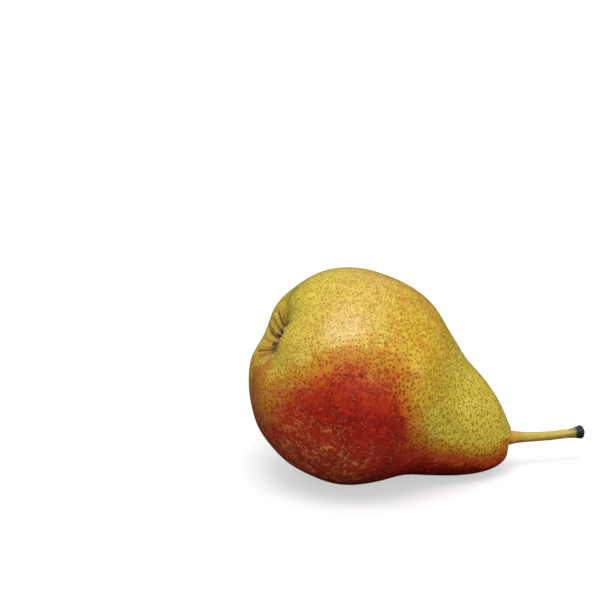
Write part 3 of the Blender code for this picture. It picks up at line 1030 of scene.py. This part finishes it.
# Painted shade: the underside of the stem is darker.
under = wood.step(out_top + fibres * 0.3, 1.0, -1.6)
drying = wood.step(out_along + blotch * 1.4, end * 0.72, end * 0.92)
black = wood.step(out_along + blotch * 0.2 + fibres * 0.2, end - BLACK_FROM, end - BLACK_FULL)
bark = wood.mix(wood.step(fibres * 0.6 + blotch * 0.5, -0.4, 1.6), GREEN_BARK, BROWN_BARK)
bark = wood.mix(foot_red * 0.75, bark, FOOT_RED)
# Painted shade on the stem's underside.
bark = wood.mix(under * 0.45, bark, UNDERSIDE_SHADE_BROWN)
bark = wood.mix(wood.step(specks + blotch * 0.5, 1.0, 1.7) * 0.5, bark, SPECK_BROWN)
bark = wood.mix(drying * 0.6, bark, DRY_BROWN)
bark = wood.mix(black, bark, wood.mix(wood.step(specks, -0.6, 1.6), BLACK, DULL_BLACK))
wood_bump = wood.node("Bump", inputs={"Strength": 0.8, "Distance": MM,
                                      "Height": fibres * 0.018 + specks * 0.008})
wood.out(Base_Color=bark, Roughness=0.45 + black * 0.2 + fibres * 0.04, Normal=wood_bump)
make_piece("stem_fine", *closed_grid(stem_grid), wood.material, "stem_wood", ["stem"])

# %% [markdown]
# ## The dried flower: one finish for all its pieces
# Cup, sepals and stamens have dried together into brown, papery tissue: dark in the creases, tan
# along the thin edges. One finish serves all of them, with fibres and specks from noise and a
# lighter tone on the parts that stick out furthest.

# %% Finish the dried flower
DARK_TISSUE = paint(66, 48, 38)
LIGHT_TISSUE = paint(126, 94, 66)
PAPERY = paint(150, 120, 84)
SOOTY = paint(28, 22, 20)

dry = Finish("dried_flower", IOR=1.4)
dry_place = dry.in_millimetres()
dry_out = dry.dot(dry.vector("SUBTRACT", dry_place, eye / MM), -core)
dry_blotch = dry.noise(dry_place, 1.3, 3.0, 0.6)
dry_specks = dry.noise(dry_place, 0.3, 3.0, 0.7)
light_share = dry.step(dry_blotch + dry_specks * 0.6, -0.6, 0.7)
tissue = dry.mix(light_share, DARK_TISSUE, LIGHT_TISSUE)
tissue = dry.mix(dry.step(dry_out + dry_blotch, 2.2, 4.6) * 0.45, tissue, PAPERY)
tissue = dry.mix(dry.step(dry_specks, 0.3, 0.7) * 0.6, tissue, SOOTY)
dry_bump = dry.node("Bump", inputs={"Strength": 0.9, "Distance": MM,
                                    "Height": dry_blotch * 0.08 + dry_specks * 0.05})
dry.out(Base_Color=tissue, Roughness=0.78 + dry_specks * 0.12, Normal=dry_bump)
print("nodes in the dried flower's finish:", len(dry.nodes))

# %% [markdown]
# ## Cup
# The cup is what is left of the flower's base, a short wrinkled ring. It could be a torus, but a
# torus has an even round section. Here a squarish section is turned about the core line, and its
# rim is bitten and uneven.

# %% Shape the cup
CUP_SIDES, CUP_SECTION = 120, 28
BITE_DEPTH = 0.00012
WRINKLE_HEIGHT = 0.00010

out = -core
cup_along = (cup_points - eye) @ out
cup_reach = np.linalg.norm(cup_points - eye - cup_along[:, None] * out, axis=1)
cup_low, cup_high = cup_along.min(), cup_along.max()
cup_outer, cup_inner = cup_reach.max(), cup_reach.min()


def about_core(reach, turn, height):
    """Points given by distance from the core line, turn about it and height out of the eye."""
    return (eye + reach[..., None] * (np.cos(turn)[..., None] * up
                                      + np.sin(turn)[..., None] * front)
            + height[..., None] * out)


def shape_cup():
    turn = 2 * math.pi * np.arange(CUP_SIDES) / CUP_SIDES
    section = np.linspace(0, 2 * math.pi, CUP_SECTION, endpoint=False)[:, None]
    middle, half = (cup_outer + cup_inner) / 2, (cup_outer - cup_inner) / 2
    centre, tall = (cup_high + cup_low) / 2, (cup_high - cup_low) / 2
    square = 1 / np.maximum(np.abs(np.cos(section)), np.abs(np.sin(section))) ** 0.6
    reach = middle + half * np.cos(section) * square + 0 * turn
    height = centre + tall * np.sin(section) * square ** 0.3 + 0 * turn
    wrinkles = soft_waves(about_core(reach, turn, height), 0.0014, 12)
    bites = np.sin(5 * turn + 0.8) + 0.7 * np.sin(11 * turn) + 0.5 * np.sin(23 * turn)
    height = height + BITE_DEPTH * bites * ease(np.sin(section), 0.0, 1.0)
    points = about_core(reach + WRINKLE_HEIGHT * wrinkles, turn, height)
    faces = grid_faces(CUP_SECTION, CUP_SIDES)
    last = (CUP_SECTION - 1) * CUP_SIDES
    faces += [(last + j, last + (j + 1) % CUP_SIDES, (j + 1) % CUP_SIDES, j)
              for j in range(CUP_SIDES)]
    return points.reshape(-1, 3), faces


make_piece("cup_fine", *shape_cup(), dry.material, "calyx_dry", ["calyx_cup"])

# %% [markdown]
# ## Sepals
# Five pointed leaves once held the bud. Dry, they curl outwards, their edges roll in and their
# middle rib stands up. Each is a thin closed sheet along a curve from its foot on the cup to its
# tip, both read from its solid, so that every one sits where its solid does.

# %% Measure the sepals
SEPALS = [f"sepal_{number}" for number in range(1, 6)]
FOOT_HEIGHT = 0.35 * MM


def sepal_ends(node):
    """Turn about the core line, then reach and height of foot and tip, and the highest point."""
    points = solid_points(node) - eye
    height = points @ out
    level = points - height[:, None] * out
    reach = np.linalg.norm(level, axis=1)
    mean = level.mean(axis=0)
    turn = math.atan2(mean @ front, mean @ up)
    foot = height < height.min() + FOOT_HEIGHT
    tip = reach.argmax()
    return turn, reach[foot].mean(), height.min(), reach[tip], height[tip], height.max()


for node in SEPALS:
    print(node, "reaches", round(sepal_ends(node)[3] / MM, 1), "mm from the core line")

# %% Shape the sepals
SEPAL_STATIONS, SEPAL_ACROSS = 34, 15
SEPAL_SHEET = 0.00014
SEPAL_HALF_WIDTH = 0.00150
RIB_RISE = 0.00014
CREASE_RISE = 0.00010
CRUMPLE_RISE = 0.00016


def bow(start, pull, end, t):
    """A curve from one value to another, drawn towards a third."""
    return (1 - t) ** 2 * start + 2 * t * (1 - t) * pull + t * t * end


def shape_sepal(node):
    turn, foot_reach, foot_height, tip_reach, tip_height, top = sepal_ends(node)
    lean = chance.uniform(-0.16, 0.16)
    tip_reach = foot_reach + (tip_reach - foot_reach) * chance.uniform(0.40, 0.65)
    bend_height = foot_height + (top - foot_height) * chance.uniform(0.35, 0.55)
    tip_height = foot_height + (tip_height - foot_height) * chance.uniform(0.6, 0.9)
    phase = chance.uniform(0, 6)
    t = np.linspace(0.0, 1.0, SEPAL_STATIONS)[:, None]
    across = np.linspace(-1.0, 1.0, SEPAL_ACROSS)
    reach = bow(foot_reach, foot_reach * 0.96, tip_reach, t)
    height = bow(foot_height, (2 * bend_height - foot_height) * 0.93, tip_height, t)
    rise, run = np.gradient(height, axis=0), np.gradient(reach, axis=0)
    length = np.hypot(rise, run)
    half_width = SEPAL_HALF_WIDTH * (1 - 0.86 * t ** 1.7) * (1 + 0.10 * np.sin(11 * t + lean * 30))
    sideways = half_width * across
    roll = 0.75 * across ** 2 * half_width * (0.4 + 0.9 * t)
    rib = RIB_RISE * np.exp(-(across / 0.16) ** 2) * (1 - t)
    crease = CREASE_RISE * np.sin(9 * across + 7 * t + phase)
    crumple = CRUMPLE_RISE * np.sin(13 * t + 3 * across + phase) * t
    thick = SEPAL_SHEET * (1 - 0.4 * t) * (1 - across ** 4)
    turned = turn + lean * t + sideways / foot_reach * 0.55
    sheets = []
    for side in (1, -1):
        level = roll - rib + crease + crumple + side * thick
        sheet_reach = reach - level * rise / length + 0.25 * sideways ** 2 / foot_reach
        sheets.append(about_core(sheet_reach, turned, height + level * run / length))
    return closed_grid(np.concatenate([sheets[0], sheets[1][:, -2:0:-1]], axis=1))


for node in SEPALS:
    make_piece(f"{node}_fine", *shape_sepal(node), dry.material, "calyx_dry", [node])

# %% [markdown]
# ## Stamens
# Inside the cup stand the dried stamens and, in their middle, the stub of the pistil. Each is a
# thin tapering thread with a knob at its end. They are tubes along short random curves, joined
# into one mesh, because they are stuck together and replace one solid.

# %% Shape the stamens
THREADS = 17
THREAD_RADIUS = 0.00013
PISTIL_RADIUS = 0.00045
THREAD_STATIONS, THREAD_SIDES = 18, 9


def thread(start_turn, start_reach, lean, length, radius):
    """A tapered tube with a knob, as rings along a bowed line."""
    t = np.linspace(0.0, 1.0, THREAD_STATIONS)
    sway = chance.uniform(-0.5, 0.5)
    reach = start_reach + lean * t ** 1.6 * length
    height = cup_low + 0.0002 + length * t * (1 - 0.18 * t)
    middle = about_core(reach, start_turn + sway * t ** 2, height)
    way = unit(middle[-1] - middle[0])
    side = unit(np.cross(way, front))
    circle = 2 * math.pi * np.arange(THREAD_SIDES) / THREAD_SIDES
    size = radius * (1 - 0.45 * t) + radius * 1.3 * np.exp(-((t - 0.93) / 0.06) ** 2)
    return closed_grid(rings_about(middle, size[:, None], circle, side, np.cross(way, side)))


tuft_height = ((solid_points("stamen_tuft") - eye) @ out).max() - cup_low
threads = [thread(0.0, 0.0, 0.0, tuft_height * 0.75, PISTIL_RADIUS)]
for index in range(THREADS):
    start = 2 * math.pi * index / THREADS + chance.uniform(-0.15, 0.15)
    threads.append(thread(start, cup_inner * chance.uniform(0.45, 0.82), chance.uniform(-0.1, 0.30),
                          tuft_height * chance.uniform(0.6, 1.05), THREAD_RADIUS))
make_piece("stamens_fine", *joined(threads), dry.material, "calyx_dry", ["stamen_tuft"])

# %% [markdown]
# ## Floor
# A shooting table of white acrylic, lit from below: it glows a little by itself, so the shadow on
# it stays pale. That glow is for the camera only. On the light's way to the fruit the table counts
# as dull grey, and in the skin's gloss as almost black, as if dark card lay just outside the
# picture. White there would wash out the underside and put a grey haze on the rims.

# %% Floor
FLOOR_REACH = 30.0
FLOOR_SEEN = 0.55
FLOOR_GLOW = 0.51
FLOOR_BOUNCE = 0.24
FLOOR_MIRRORED = 0.03


def table_material():
    finish = Finish("white_table", Base_Color=(FLOOR_SEEN,) * 3, Roughness=0.9,
                    Specular_IOR_Level=0.0, Emission_Color=(1.0, 1.0, 1.0),
                    Emission_Strength=FLOOR_GLOW)
    seen = finish.node("LightPath", output="Is Camera Ray")
    shade = finish.mix(seen.other("Is Glossy Ray"), (FLOOR_BOUNCE,) * 3, (FLOOR_MIRRORED,) * 3)
    card = finish.node("BsdfDiffuse", inputs={"Color": shade})
    lit = Field(finish, finish.shader.outputs[0])
    both = finish.node("MixShader", inputs={0: seen, 1: card, 2: lit})
    finish.feed(finish.nodes["Material Output"].inputs["Surface"], both)
    return finish.material


def lay_table():
    mesh = bpy.data.meshes.new("table")
    corners = [(-1, -1), (1, -1), (1, 1), (-1, 1)]
    mesh.from_pydata([(x * FLOOR_REACH, y * FLOOR_REACH, 0.0) for x, y in corners], [],
                     [(0, 1, 2, 3)])
    mesh.materials.append(table_material())
    add_object("table", mesh)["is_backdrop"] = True


lay_table()
print("table", 2 * FLOOR_REACH, "m wide")

# %% [markdown]
# ## Light
# A wide soft key light from in front and above models the belly. A second light, almost level,
# fills the side below it, and isn't mirrored in the skin, where it would show as a glare. The pale
# sheen on the belly is a third light that does nothing else, and a weak fourth one shows the stem
# end. All are sun lamps with wide discs: they light the whole table evenly, so no edge of a pool
# of light shows from any side. The sky is bright overhead and dark at eye level, and the camera
# sees it as pure white, as it sees the table.

# %% Light
SKY_LOW, SKY_HIGH = 0.07, 0.94
SKY_SEEN = 1.05
SHEEN_TINT = (0.82, 0.76, 1.0)


def hang_light(name, azimuth, elevation, width, strength):
    """A wide disc of light. Its azimuth, elevation and width are in degrees."""
    data = bpy.data.lights.new(name, "SUN")
    data.energy = strength
    data.angle = math.radians(width)
    lamp = add_object(name, data)
    lamp.rotation_euler = (-way_to(azimuth, elevation)).to_track_quat("-Z", "Y").to_euler()
    return lamp


def make_sky():
    """Bright overhead, dim at eye level. The camera sees plain white instead."""
    world = bpy.data.worlds.new("sky")
    world.use_nodes = True
    sky = NodeGraph(world.node_tree)
    way = sky.node("TexCoord", output="Generated")
    rise = sky.node("SeparateXYZ", inputs={"Vector": way}, output="Z")
    glow = sky.node("MapRange", inputs={"Value": rise, "To Min": SKY_LOW, "To Max": SKY_HIGH})
    seen = sky.node("LightPath", output="Is Camera Ray")
    shade = sky.nodes["Background"].inputs
    sky.feed(shade["Color"], (1.0, 1.0, 1.0))
    sky.feed(shade["Strength"], sky.node("Mix", inputs={0: seen, 2: glow, 3: SKY_SEEN}))
    bpy.context.scene.world = world


hang_light("key", -20.0, 68.0, 30.0, 1.34)
fill = hang_light("fill", 2.0, 5.0, 50.0, 1.34)
fill.visible_glossy = False
sheen = hang_light("sheen", -15.0, 73.0, 40.0, 2.0)
sheen.visible_diffuse = False
sheen.data.color = SHEEN_TINT
hang_light("side", 68.0, 10.0, 40.0, 0.42)
make_sky()
bpy.context.scene.view_settings.view_transform = "Standard"
print("four lights, sky from", SKY_LOW, "to", SKY_HIGH)

# %% [markdown]
# ## Sizes, then finish
# The fine pieces may stand a little proud of the solids and no more. How much the box round them
# has grown over the solids' box is printed.

# %% Compare sizes and finish
low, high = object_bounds()
print("grown in mm:", [round((a - b) / MM, 2) for a, b in zip(high - low, cad_high - cad_low)])
